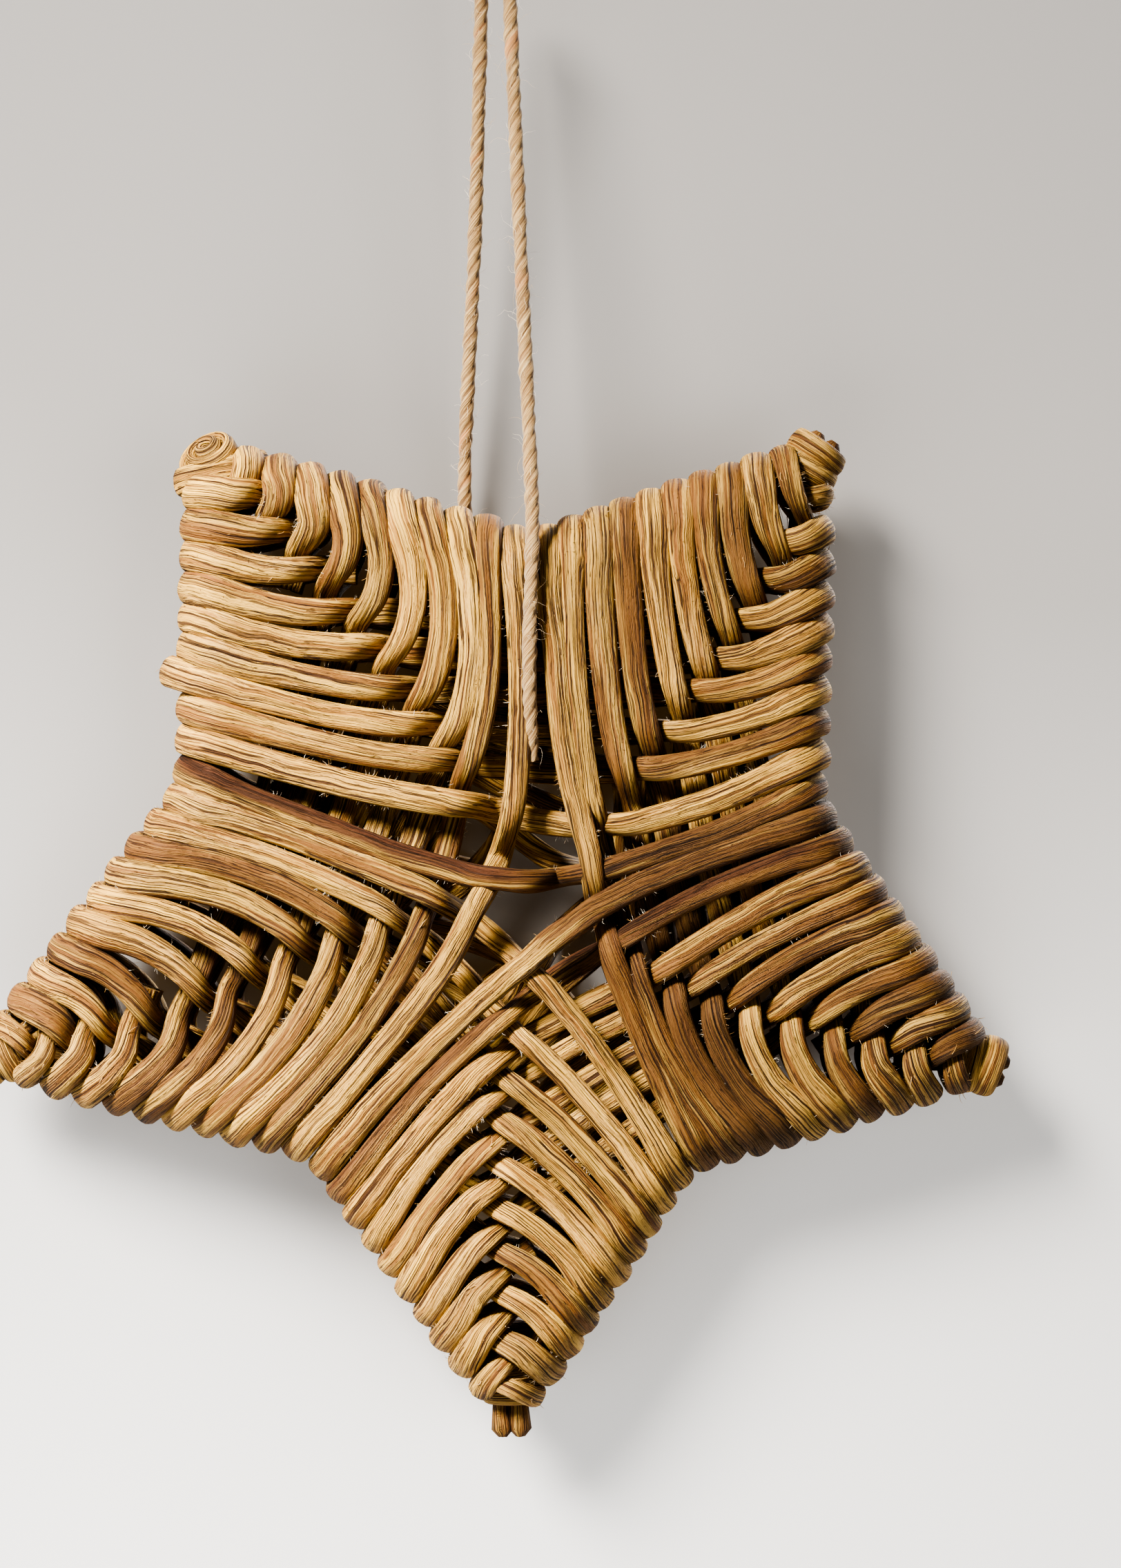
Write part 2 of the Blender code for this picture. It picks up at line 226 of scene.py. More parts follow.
AXIS_START, AXIS_PITCH = 103.4, 8.8
BOW, LONG_REACH, MID_SAG = 1.8, 30.0, 0.02
BOWS = {  # where the strands over an edge bow more
    ("upper_left", "top"): 4.8,
    ("lower_left", "left"): 3.6,
    ("lower_left", "bottom_left"): 4.0,
    ("lower_right", "bottom_right"): 3.2,
    ("bottom", "bottom_right"): 2.6,
}
FACE_AT_TIP, FACE_AT_CENTRE, FACE_FALLOFF = 10.2, 14.0, 45.0
EDGE_ROUND, LAYER_DROP, CLOSING_DEEPER = 7.0, 7.6, 1.6
DIVE_LENGTH, LATE_DIVE = 3.3, 9.0
SHINGLE_TILT, SHINGLE_REACH = math.radians(44), 6.5
LAST_TILT, LAST_RISE, BEND_REACH = 0.5, 1.0, 6.0
TUCK, TUCKS = 8.0, {1: 3.0, 2: 3.2, ROUNDS - 1: -1.5}  # how far a round's end is tucked in
UNEVEN = 0.9
# The two families of an arm don't meet on its middle line: the rounds, from the tip
# inward, cross this far to one side of it.
SIDE_SHIFTS = {
    "upper_left": ((0.81, 0.58), (3.5, 4.0, 4.5, 4.8, 4.8, 4.8, 4.8, 4.8, 3.5)),
    "upper_right": ((0.81, -0.59), (4.4, 5.2, 5.8, 5.8, 5.4, 4.8, 4.2, 4.0, 3.0)),
    "lower_right": ((-0.31, -0.95), (1.4, 1.6, 2.0, 2.8, 3.6, 4.4, 5.2, 5.0, 2.0)),
    "bottom": ((-1.0, 0.0), (2.5, 3.2, 3.8, 4.2, 4.5, 4.5, 4.5, 4.0, 2.0)),
    "lower_left": ((0.30, 0.95), (0.0, -1.0, -2.5, -3.0, -1.0, 2.0, 4.5, 5.0, 4.0)),
}
# The innermost strands don't keep to the pitch: where these cross is moved by so much.
CROSSING_SHIFTS = {
    ("upper_right", 0.0, 9): (0.0, -4.0),
    ("upper_right", 0.0, 10): (0.0, -7.5),
    ("upper_left", 0.5, 10): (1.0, -4.5),
    ("upper_left", 0.0, 10): (6.0, 0.0),
    ("upper_right", 0.5, 10): (5.6, 0.0),
    ("lower_right", 0.0, 10): (1.0, 0.0),
    ("lower_left", 0.0, 10): (0.0, 4.5),
    ("bottom", 0.0, 10): (0.0, 4.0),
}
STRAY_LOOP = ("across_top", 7, 3.8)  # this round stands out past the edge
HANG_DROP, HANG_SHIFT = 177.4, 2.4
CANE_WIDTH, CANE_THICKNESS = 5.2, 3.4  # of the real cane, rounder than the solids' strips
print(len(FAMILIES), "directions of", ROUNDS - 1, "rounds each")

# %% Points of the weave


def polar(radius, degrees):
    """A point in the star's plane: x, and height over the star's centre."""
    a = math.radians(degrees)
    return np.array([radius * math.cos(a), radius * math.sin(a)])


def unit(v):
    return v / np.linalg.norm(v)


CENTRE = np.array(WEAVE_CENTRE)
TIP = {name: polar(*place) for name, place in ARM_TIPS.items()}
NOTCH = {name: polar(*place) for name, place in NOTCHES.items()}
APEX = {name: tip + APEX_PAST_TIP * unit(tip) for name, tip in TIP.items()}


def edge_point(arm, notch, round_number):
    """Where a round wraps over the edge between a notch and an arm's apex."""
    share = (EDGE_START + EDGE_PITCH * (ROUNDS - 1 - round_number)) / EDGE_LENGTH
    return NOTCH[notch] + (APEX[arm] - NOTCH[notch]) * share


def axis_point(arm, phase, round_number):
    """Where a round crosses the middle line of an arm, a little off by hand."""
    rng = np.random.default_rng([list(ARM_TIPS).index(arm), round(2 * phase), round_number])
    along = AXIS_START - AXIS_PITCH * (round_number + phase) + rng.uniform(-1, 1) * UNEVEN
    shift = np.array(CROSSING_SHIFTS.get((arm, phase, round_number), (0, 0)), float)
    sideways, amounts = SIDE_SHIFTS[arm]
    if round_number <= len(amounts):
        shift += np.array(sideways) * amounts[max(0, round_number - 1)]
    return CENTRE + (TIP[arm] - CENTRE) * along / ARM_LENGTH + shift


def bow_over(arm, notch, round_number):
    """How far a strand bows between an edge and the middle of the arm."""
    share = min(1.0, max(0.0, 0.5 * (ROUNDS - 1 - round_number)))
    return BOW + (BOWS.get((arm, notch), BOW) - BOW) * share


def face_height(p):
    """Height of the outer layer over the middle plane at a point of the star."""
    near = math.exp(-((np.linalg.norm(p) / FACE_FALLOFF) ** 2))
    return FACE_AT_TIP + (FACE_AT_CENTRE - FACE_AT_TIP) * near


def to_world(points):
    """From millimetres about the star's centre to metres about the hanging point."""
    return (np.asarray(points, float) + [HANG_SHIFT, 0, -HANG_DROP]) * MM


print("arms at", {name: [round(float(v)) for v in tip] for name, tip in TIP.items()})

# %% [markdown]
# ## One pass over a face
#
# A pass is described by its corners, the places where it crosses a middle line and the
# edges it wraps over. From these come, at any distance along it, its place, its height
# over the middle plane and how far the flat side of the cane tilts where it lies against
# the next one, like a roof shingle.

# %% The route of a pass


def step(x):
    """A smooth step from 0 to 1 while x runs from -1 to 1."""
    return 0.5 + 0.5 * math.sin(0.5 * math.pi * max(-1.0, min(1.0, x)))


def along_line(corners, s):
    """The point at distance s along a bent line, carried straight on past its ends."""
    for i, (a, b) in enumerate(zip(corners, corners[1:])):
        length = np.linalg.norm(b - a)
        if s <= length or i == len(corners) - 2:
            return a + (b - a) * s / length
        s -= length


def along_curve(corners, s):
    """The same with its corners rounded, as the mean over a short stretch."""
    return sum(along_line(corners, s + BEND_REACH * t) for t in (-1, -0.5, 0, 0.5, 1)) / 5


def bow_at(route, s):
    """How far a strand sags toward the star's middle at distance s."""
    sag = 0.0
    for ((edge, sign), _, _), bow in zip(route["proud"], route["bows"]):
        crossing = min((c for c, _, _ in route["crossings"]), key=lambda c: abs(c - edge))
        reach = abs(crossing - edge)
        x = (s - edge) * sign / reach
        if 0 < x < 1:
            sag += bow * min(1, reach / LONG_REACH) * 4 * x * (1 - x) * (0.75 + 0.5 * x)
    if len(route["crossings"]) == 2:
        (first, _, _), (last, _, _) = route["crossings"]
        x = (s - first) / (last - first)
        if 0 < x < 1:
            sag += MID_SAG * (last - first) * math.sin(math.pi * x) ** 2
    return route["outside"] * sag


def pass_point(route, s):
    """Plane point, height over the middle plane and tilt of a pass at distance s."""
    p = along_curve(route["corners"], s) - bow_at(route, s)
    low, tilt, rise = 1.0, 0.0, 0.0
    for crossing, inward, dives in route["crossings"]:
        past = (s - crossing) * inward
        low *= step((past - (0.0 if dives else LATE_DIVE)) / DIVE_LENGTH)
        near = math.exp(-((past / SHINGLE_REACH) ** 2))
        tilt = max(tilt, near * SHINGLE_TILT * (1.0 if dives else LAST_TILT))
        rise += 0.0 if dives else near * LAST_RISE
    height = face_height(p) + rise - (LAYER_DROP + route["deeper"]) * low
    for from_edge, outward, extra in route["proud"]:
        here = max(0.0, (s - from_edge[0]) * from_edge[1])
        if here < EDGE_ROUND:
            across = 1 - here / EDGE_ROUND
            height *= math.sqrt(max(0.0, 1 - across * across))
            p = p + outward * (extra * across**2 - 0.5 * CANE_THICKNESS)
        else:
            fade = max(0.0, 1 - (here - EDGE_ROUND) / EDGE_ROUND)
            p = p - outward * 0.5 * CANE_THICKNESS * fade
    return p, height, tilt


print("a shingle tilts by", round(math.degrees(SHINGLE_TILT)), "degrees")

# %% Whole and half routes


def route_end(family, end, round_number):
    """One end of a pass: where its edge and its crossing lie, and what it does there."""
    arm, notch, phase = FAMILIES[family][end]
    edge, cross = edge_point(arm, notch, round_number), axis_point(arm, phase, round_number)
    dives = phase < 0.25 or round_number < ROUNDS - 1
    return edge, cross, np.linalg.norm(cross - edge), bow_over(arm, notch, round_number), dives


def full_route(family, first_round, last_round):
    """A pass from edge to edge; the two ends may belong to different rounds."""
    edge_a, cross_a, reach_a, bow_a, dives_a = route_end(family, 0, first_round)
    edge_b, cross_b, reach_b, bow_b, dives_b = route_end(family, 1, last_round)
    total = reach_a + np.linalg.norm(cross_b - cross_a) + reach_b
    stray = STRAY_LOOP[2] if (family, last_round) == STRAY_LOOP[:2] else 0.0
    arm_a, arm_b = (arm for arm, _, _ in FAMILIES[family])
    return dict(
        corners=[edge_a, cross_a, cross_b, edge_b],
        crossings=[(reach_a, 1, dives_a), (total - reach_b, -1, dives_b)],
        proud=[
            ((0.0, 1), unit(edge_a - cross_a), 0.0),
            ((total, -1), unit(edge_b - cross_b), stray),
        ],
        bows=[bow_a, bow_b],
        outside=unit(TIP[arm_a] + TIP[arm_b] - 2 * CENTRE),
        deeper=CLOSING_DEEPER if first_round != last_round == ROUNDS - 2 else 0.0,
        length=total,
    )


def half_route(family, end, round_number):
    """A pass from one edge that ends tucked under the other family of its arm."""
    edge, cross, reach, bow, dives = route_end(family, end, round_number)
    (arm, _, _), (other_arm, _, other_phase) = FAMILIES[family][end], FAMILIES[family][1 - end]
    onward = unit(axis_point(other_arm, other_phase, round_number) - cross)
    tuck = TUCKS.get(round_number, TUCK)
    return dict(
        corners=[edge, cross, cross + onward * tuck],
        crossings=[(reach, 1, dives)],
        proud=[((0.0, 1), unit(edge - cross), 0.0)],
        bows=[bow],
        outside=unit(axis_point(arm, 0, 1) + axis_point(other_arm, 0, 1) - 2 * CENTRE),
        deeper=0.0,
        length=reach + tuck,
    )


print("one pass measures", round(full_route("across_top", 8, 8)["length"]), "mm")

# %% [markdown]
# ## Canes as lines of points
#
# The real cane is one long flexible strip, so each is first a line of points. Every point
# also carries what the strip does there: which way its flat side faces, how far along
# the cane it lies and how wide and how dark it is. The points lie closer together where
# the cane wraps over an edge. At the end the line is smoothed a little, because cane does
# not turn sharply.

# %% Points along a pass
FRONT, BACK = 1, -1
POINT_SPACING = 1.3
WRAP_ANGLES = (0, 12, 24, 36, 48, 60, 72, 84)


def points_of(route, face):
    """Places along a pass and the way its flat side faces there."""
    total, both = route["length"], len(route["proud"]) == 2
    wrap = [EDGE_ROUND * (1 - math.cos(math.radians(a))) for a in WRAP_ANGLES]
    end = total - EDGE_ROUND if both else total
    count = round((end - EDGE_ROUND) / POINT_SPACING) + 1
    stations = wrap + list(np.linspace(EDGE_ROUND, end, count))
    stations += [total - w for w in reversed(wrap)] if both else []
    made = []
    for s in stations:
        p, height, tilt = pass_point(route, s)
        ahead, behind = (
            along_curve(route["corners"], s + d) - bow_at(route, s + d) for d in (0.5, -0.5)
        )
        along = unit(ahead - behind)
        side = np.array([-along[1], along[0]])
        side = side if side @ route["outside"] > 0 else -side
        edge_distance = min(abs(s - e[0]) for e, _, _ in route["proud"])
        made.append((p[0], -face * height, p[1], side[0], side[1], tilt, edge_distance))
    return np.array(made)


def join(passes):
    """One line from several passes; each keeps its own number."""
    numbers = np.concatenate([np.full(len(p), i) for i, p in enumerate(passes)])
    points = np.concatenate(passes)
    gaps = np.linalg.norm(np.diff(points[:, :3], axis=0), axis=1)
    keep = np.concatenate([[True], gaps > 0.15])
    return points[keep], numbers[keep]


def coil_line(family):
    """One length of cane wound over two arms: front and back passes in turn."""
    last = ROUNDS - 1
    passes = [points_of(half_route(family, 0, FIRST_FULL_ROUND), BACK)[::-1]]
    for n in range(FIRST_FULL_ROUND, ROUNDS):
        passes.append(points_of(full_route(family, n, n), FRONT))
        if n < last:
            passes.append(points_of(full_route(family, n + 1, n), BACK)[::-1])
    passes.append(points_of(half_route(family, 1, last), BACK))
    return join(passes)


def turn_line(family, end, round_number):
    """A short turn over one edge of an arm, both of its ends tucked in."""
    route = half_route(family, end, round_number)
    return join([points_of(route, BACK)[::-1], points_of(route, FRONT)])


example, numbers = coil_line("across_top")
print("a long cane has", len(example), "points in", numbers[-1] + 1, "passes")

# %% [markdown]
# A hand-wound cane is never quite even. Slow random waves move each line sideways by a
# fraction of a millimetre and make it wider and narrower, and each pass gets its own
# tone. The tone changes at the edges of the star, where one pass turns into the next.
# Width also differs a little from arm to arm, and each arm's tone is shifted as painted
# light and shade: the lower right arm is painted darker and the bottom arm lighter, for
# how the key light falls across the star.

# %% From points to a strip with a face
WOBBLE, WOBBLE_WAVES = 0.3, (93, 61, 37)  # how far a strip strays, and over what lengths
PASS_WIDTHS, WIDTH_UNEVEN, WIDTH_WAVES = (0.90, 1.06), 0.06, (83, 41)
EDGE_SPREAD, SPREAD_REACH = 0.28, 14.0  # strips flatten where they wrap over an edge
SOFT_PLACE, SOFT_PASS, SOFT_ARM = 2, 6, 12  # how often values are softened
# the second number is painted light and shade: each arm's canes are painted lighter or darker for
# how the key light falls on that arm
ARM_WIDTHS_AND_PAINTED_LIGHT = {  # width, and how much lighter
    "upper_left": (1.02, 0.1),
    "upper_right": (0.95, 0.0),
    "lower_right": (0.92, -0.5),
    "bottom": (0.90, 0.3),
    "lower_left": (0.97, -0.1),
}


def slow_waves(along, lengths, rng):
    """Sums of waves of these lengths with random phases, about -1 to 1."""
    waves = [np.sin(2 * np.pi * (along / length + rng.random())) for length in lengths]
    return sum(waves) / len(waves)


def soften(values, times):
    """Each value moved toward its neighbours; the two ends stay."""
    for _ in range(times):
        values = values.copy()
        values[1:-1] = (values[:-2] + 2 * values[1:-1] + values[2:]) / 4
    return values


def rows_to_unit(vectors):
    return vectors / np.linalg.norm(vectors, axis=1, keepdims=True)


def distances(place):
    """How far along a line each of its points lies."""
    return np.concatenate([[0], np.cumsum(np.linalg.norm(np.diff(place, axis=0), axis=1))])


def strip_line(points, numbers, seed, slim=1.0, stains=None):
    """Places, flat-side directions and looks along one strip; stains go by its passes."""
    rng = np.random.default_rng(seed)
    place = soften(points[:, :3], SOFT_PLACE)
    side = soften(np.stack([points[:, 3], 0 * points[:, 3], points[:, 4]], 1), SOFT_PASS)
    tilt = soften(points[:, 5], SOFT_PLACE)
    along = distances(place)
    tangent = rows_to_unit(np.gradient(place, axis=0))
    side = rows_to_unit(side - tangent * np.sum(side * tangent, axis=1, keepdims=True))
    normal = np.cross(side, tangent)
    normal *= 1 if np.sum(normal[:, 1] * place[:, 1]) > 0 else -1
    calm = np.minimum(1, np.minimum(along, along[-1] - along) / 10)[:, None]
    place = place + side * calm * WOBBLE * slow_waves(along, WOBBLE_WAVES, rng)[:, None]
    face = np.cos(tilt)[:, None] * normal - np.sin(tilt)[:, None] * side
    toward = points[:, [0, 2]] @ np.array([unit(tip) for tip in TIP.values()]).T
    arm_widths_and_painted_light = np.array([ARM_WIDTHS_AND_PAINTED_LIGHT[name] for name in TIP])[np.argmax(toward, axis=1)]
    # light is each arm's painted light and shade; it is added to the tone of the canes below
    wide, light = soften(arm_widths_and_painted_light, SOFT_ARM).T
    wide = wide * (1 + EDGE_SPREAD * np.exp(-((points[:, 6] / SPREAD_REACH) ** 2)))
    tones = rng.random(numbers[-1] + 1)
    widths = rng.uniform(*PASS_WIDTHS, numbers[-1] + 1)
    stain = np.zeros(len(numbers))
    for number, (amount, left, right) in (stains or {}).items():
        stain += amount * (numbers == number) * (points[:, 0] > left) * (points[:, 0] < right)
    start = 1000.0 * rng.integers(1, 60)
    uneven = 1 + WIDTH_UNEVEN * slow_waves(along, WIDTH_WAVES, rng)
    return dict(
        place=to_world(place),
        face=face,
        along=along + start,
        width=slim * soften(widths[numbers], SOFT_PASS) * wide * uneven,
        tone=soften(tones[numbers], SOFT_PASS) + light,
        stain=soften(stain, SOFT_ARM),
    )


example = strip_line(example, numbers, 1)
print("a long cane measures", round(float(np.ptp(example["along"])) * MM, 2), "m")

# %% [markdown]
# ## Sweeping a section along the lines
#
# A cane that follows a path is what a curve sweep is for. Geometry Nodes turn each line
# into a curve and sweep a section along it. Canes, twine and hairs all grow this way, so
# the steps that their node trees share are functions: the tree with its inputs, the
# grain, the lift along the normals, and the end of the tree. The grain is an attribute
# that holds the place in the section and the distance along the line. The materials read
# it, so that fibres follow every bend.

# %% What the node trees share


def sweep_tree(name, sizes):
    """A node tree for lines, sizes and a material, with the lines as curves and the rest."""
    tree = bpy.data.node_groups.new(name, "GeometryNodeTree")
    for label in ("Geometry", *sizes, "Material"):
        kind = "Int" if isinstance(sizes.get(label), int) else "Float"
        kind = "NodeSocket" + (kind if label in sizes else label)
        made = tree.interface.new_socket(label, in_out="INPUT", socket_type=kind)
        if label in sizes:
            made.default_value = sizes[label]
    tree.interface.new_socket("Geometry", in_out="OUTPUT", socket_type="NodeSocketGeometry")
    g = Graph(tree)
    given = g.add("NodeGroupInput")
    lines, *others = [Value(g, given.outputs[i]) for i in range(len(sizes) + 2)]
    return g, g.get("GeometryNodeMeshToCurve", inputs={"Mesh": lines}), others


def circle(g, sides, radius):
    parts = {"Resolution": sides, "Radius": radius}
    return g.get("GeometryNodeCurvePrimitiveCircle", inputs=parts)


def named(g, name, kind="FLOAT"):
    return g.get("GeometryNodeInputNamedAttribute", {"data_type": kind}, {"Name": name})


def stored(g, geometry, name, value):
    settings = {"data_type": "FLOAT_VECTOR", "domain": "POINT"}
    parts = {"Geometry": geometry, "Name": name, "Value": value}
    return g.get("GeometryNodeStoreNamedAttribute", settings, parts)


def swept_along(g, rail, profile):
    parts = {"Curve": rail, "Profile Curve": profile, "Scale": named(g, "width"), "Fill Caps": True}
    return g.get("GeometryNodeCurveToMesh", inputs=parts)


def section_place(g):
    """The place in the section in millimetres: up from the flat side, and across."""
    up, across, _ = g.parts(named(g, "section", "FLOAT_VECTOR"))
    return up / MM, across / MM


def lifted(g, geometry, height):
    """The surface moved out along its normals."""
    out = g.get("GeometryNodeInputNormal")
    lift = g.get("ShaderNodeVectorMath", {"operation": "SCALE"}, {0: out, 3: height})
    return g.get("GeometryNodeSetPosition", inputs={"Geometry": geometry, "Offset": lift})


def end_tree(g, swept, finish):
    """Ends a tree: instances made real, with a material."""
    swept = g.get("GeometryNodeRealizeInstances", inputs={"Geometry": swept})
    swept = g.get("GeometryNodeSetMaterial", inputs={"Geometry": swept, "Material": finish})
    g.add("NodeGroupOutput", inputs={0: swept})
    return g.tree


def line_mesh(name, lines):
    """Lines of points as the edges of one mesh, with what each point carries."""
    places = np.concatenate([line["place"] for line in lines])
    edges, start = [], 0
    for line in lines:
        count = len(line["place"])
        edges += [(start + i, start + i + 1) for i in range(count - 1)]
        start += count
    mesh = bpy.data.meshes.new(name)
    mesh.from_pydata(places.tolist(), edges, [])
    for key in lines[0]:
        if key == "place":
            continue
        values = np.concatenate([line[key] for line in lines]).astype(np.float32)
        kind, slot = ("FLOAT_VECTOR", "vector") if values.ndim == 2 else ("FLOAT", "value")
        mesh.attributes.new(key, kind, "POINT").data.foreach_set(slot, values.ravel())
    return mesh


def grow(name, lines, tree, settings):
    """Runs a node tree on lines and keeps the result as a plain mesh."""
    seed = bpy.data.objects.new(name + "_seed", line_mesh(name + "_lines", lines))
    bpy.context.scene.collection.objects.link(seed)
    modifier = seed.modifiers.new("grow", "NODES")
    modifier.node_group = tree
    for item in tree.interface.items_tree:
        if item.item_type == "SOCKET" and item.in_out == "INPUT" and item.name in settings:
            modifier[item.identifier] = settings[item.name]
    graph = bpy.context.evaluated_depsgraph_get()
    mesh = bpy.data.meshes.new_from_object(seed.evaluated_get(graph))
    bpy.data.objects.remove(seed)
    mesh.name = name
    mesh.shade_smooth()
    piece = bpy.data.objects.new(name, mesh)
    bpy.context.scene.collection.objects.link(piece)
    print(name, "has", sum(len(p.vertices) - 2 for p in mesh.polygons), "triangles")
    return piece


# %% [markdown]
# The cane's section is a rounded strip, and its flat side faces where the line says. A
# stretched noise raises and lowers the surface in long ridges.

# %% The sweep of a cane
SECTION_SIDES = 22
RIDGE_HEIGHT = 0.24
RIDGE_ACROSS, RIDGE_ALONG = 0.95, 70.0


def cane_sweep_tree():
    sizes = {"Width": CANE_WIDTH * MM, "Thickness": CANE_THICKNESS * MM}
    sizes |= {"Sides": SECTION_SIDES, "Ridge height": RIDGE_HEIGHT * MM}
    g, rail, (width, thickness, sides, ridge, finish) = sweep_tree("cane sweep", sizes)
    turned = {"Curve": rail, "Normal": named(g, "face", "FLOAT_VECTOR")}
    rail = g.get("GeometryNodeSetCurveNormal", {"mode": "FREE"}, turned)

    up, across, _ = g.parts(g.get("GeometryNodeInputPosition"))
    fuller = up.math("ABSOLUTE") ** 0.9 * up.math("SIGN")
    shape = g.xyz(fuller * thickness * 0.5, across * width * 0.5, 0.0)
    bent = {"Geometry": circle(g, sides, 1.0), "Position": shape}
    profile = g.get("GeometryNodeSetPosition", inputs=bent)
    profile = stored(g, profile, "section", g.get("GeometryNodeInputPosition"))

    swept, along = swept_along(g, rail, profile), named(g, "along")
    grain = (*section_place(g), along)
    swept = stored(g, swept, "grain", g.xyz(*grain))
    ridges = g.fibres(grain, RIDGE_ACROSS, RIDGE_ALONG, rough=0.6)
    return end_tree(g, lifted(g, swept, (ridges - 0.5) * 2.0 * ridge), finish)


cane_sweep = cane_sweep_tree()
print("the cane's tree has", len(cane_sweep.nodes), "nodes")

# %% [markdown]
# ## Rattan
#
# Split rattan shows what it is made of: bundles of fibres that run the whole length.
# Up close they are straw and honey coloured ribs with hair-thin dark lines between them,
# wider bands where the outer skin left a red-brown stain, and short cracks across the
# grain where the cane was bent. All of it is noise that is stretched along the grain
# attribute. The same noises raise the ribs and sink the lines.

# %% Rattan material
STRAW = (0.440, 0.258, 0.070, 1)
HONEY = (0.262, 0.128, 0.032, 1)
PALE = (0.600, 0.378, 0.098, 1)
BLOOM = (0.50, 0.32, 0.130, 1)
UMBER = (0.056, 0.021, 0.008, 1)
RUST = (0.180, 0.070, 0.020, 1)
STAIN = (0.085, 0.026, 0.010, 1)


def new_material(name):
    material = bpy.data.materials.new(name)
    material.use_nodes = True
    material.node_tree.nodes.clear()
    return material, Graph(material.node_tree)


def attribute(graph, name, output):
    return graph.get("ShaderNodeAttribute", {"attribute_name": name}, output=output)


def shade(graph, colour, roughness, normal, **fixed):
    """A Principled shader and the material's output."""
    parts = {"Base Color": colour, "Roughness": roughness, "Normal": normal}
    shader = graph.get("ShaderNodeBsdfPrincipled", inputs=parts | fixed)
    graph.add("ShaderNodeOutputMaterial", inputs={"Surface": shader})


def rattan():
    material, g = new_material("rattan")
    up, across, along = g.parts(attribute(g, "grain", 1))
    tone, stain = attribute(g, "tone", 2), attribute(g, "stain", 2)
    along = along + 137.0  # another number gives other patches

    wander = g.noise(g.xyz(0.0, 0.0, along / 11.0), 1.0) - 0.5
    weave = g.fibres((up, across, along), 4.0, 16.0, 1.0, 0.5) - 0.5
    place = (up, across + wander * 1.3 + weave * 1.6, along)
    ribs = g.fibres(place, 0.36, 46.0)
    hairs = g.fibres(place, 0.22, 18.0)
    veins = g.fibres(place, 0.52, 52.0, 3.0, 0.62)
    bands = g.fibres(place, 1.25, 75.0)
    patches = g.fibres(place, 5.0, 30.0)
    flecks = g.fibres(place, 0.30, 3.0)
    grain = g.fibres(place, 0.24, 1.2, rough=0.7)

    bloom = g.fibres(place, 4.0, 17.0).fade(0.50, 0.66) * grain.fade(0.40, 0.56)
    # tone also holds each arm's painted light and shade, so the arms painted darker come out redder
    # here
    reddish = bands * 0.45 + ribs * 0.15 + patches * 0.4 + (tone - 0.5) * 0.16
    one_side = across * 0.45 + (patches - 0.5) * 2.2 + (ribs - 0.5) * 1.5
    lines = hairs.fade(0.44, 0.385) * patches.fade(0.34, 0.52)
    specks = flecks.fade(0.335, 0.29)
    bent = g.noise(g.xyz(up * 0.9, across * 0.9, along * 3.2), 1.0, 3.0, 0.7)
    cracks = bent.fade(0.66, 0.71) * g.fibres(place, 3.0, 9.0).fade(0.50, 0.64)
    colour = g.painted(
        g.mix(ribs.fade(0.42, 0.55), HONEY, STRAW),
        (bands.fade(0.50, 0.62) * 0.6, PALE),
        (bloom * 0.45, BLOOM),
        (reddish.fade(0.485, 0.425) * 0.75, RUST),
        (one_side.fade(-0.25, 0.35) * stain * 0.92, STAIN),
        (lines * 0.85, UMBER),
        (ribs.fade(0.40, 0.33) * 0.6, UMBER),
        (veins.fade(0.43, 0.385) * 0.92, UMBER),
        (specks * 0.8, UMBER),
        (cracks * 0.85, UMBER),
    )
    # tone holds each pass's random tone and each arm's painted light and shade, so this also paints
    # the lower right arm darker and the bottom arm lighter
    light = (0.70 + tone * 0.46) * (0.82 + grain * 0.34)
    colour = g.mix(1.0, colour, g.xyz(light, light, light), "MULTIPLY")

    relief = ribs * 0.6 + hairs * 0.4 + grain * 0.35 + veins.fade(0.36, 0.41) * 0.6
    relief = relief - lines * 0.35 - cracks * 0.5 - specks * 0.3
    normal = g.get("ShaderNodeBump", inputs={"Height": relief, "Distance": 0.7 * MM})
    roughness = 0.60 + (1 - grain) * 0.25
    shade(g, colour, roughness, normal, **{"Specular IOR Level": 0.28})
    return material


cane_finish = rattan()
print("rattan takes", len(cane_finish.node_tree.nodes), "nodes")

# %% [markdown]
# ## The wound canes
#
# Five long canes cross the star in five directions. Near the tips the rounds no longer
# reach another arm, and each is a short turn of its own.

# %% The five long canes
STAINS = {  # dark passes: how dark, and from where to where
    "across_top": {13: (1.0, -75, 2), 9: (0.7, 0, 60)},
    "rising_right": {11: (0.9, -60, 60)},
}


def wind(name, lines, nodes, sizes=None):
    """Grows canes along lines as one piece, which stands for these solids of the star."""
    settings = {"Material": cane_finish} | (sizes or {})
    piece = grow(name, lines, cane_sweep, settings)
    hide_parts(*nodes)
    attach(piece, "root")


cane_lines = []
for seed, family in enumerate(FAMILIES):
    points, numbers = coil_line(family)
    line = strip_line(points, numbers, 10 + seed, stains=STAINS.get(family))
    cane_lines.append(line)
    wind(f"{family}_cane", [line], [f"coil_{family}"])

